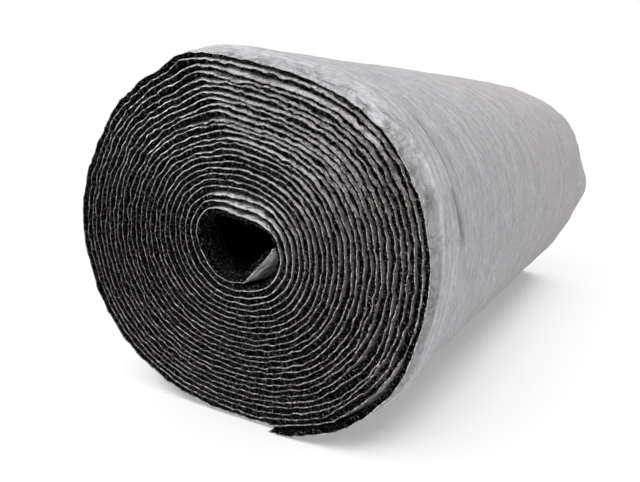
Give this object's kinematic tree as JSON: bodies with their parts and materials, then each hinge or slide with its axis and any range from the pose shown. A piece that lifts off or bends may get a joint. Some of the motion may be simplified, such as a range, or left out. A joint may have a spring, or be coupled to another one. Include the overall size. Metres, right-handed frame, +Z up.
{
  "type": "roll of breather membrane",
  "caption": "Settled roll of breather membrane bonded to a black filament mat, wound without a core tube and lying on its side, with its outer end loose.",
  "frame": {"origin": "on the floor under the middle of the roll, at the bottom centre of its box", "axes": "+Z up, +Y along the roll's axis towards its far end; the end with the loose outer end on its right-hand side faces -Y"},
  "size_m": [0.5412, 1, 0.4813],
  "materials": {
    "membrane": "matte nonwoven, pale grey",
    "filament_mat": "black curly filament, slightly glossy, on the inner face of the membrane"
  },
  "bodies": {
    "root": {"membrane_roll": "membrane"}
  },
  "joints": []
}
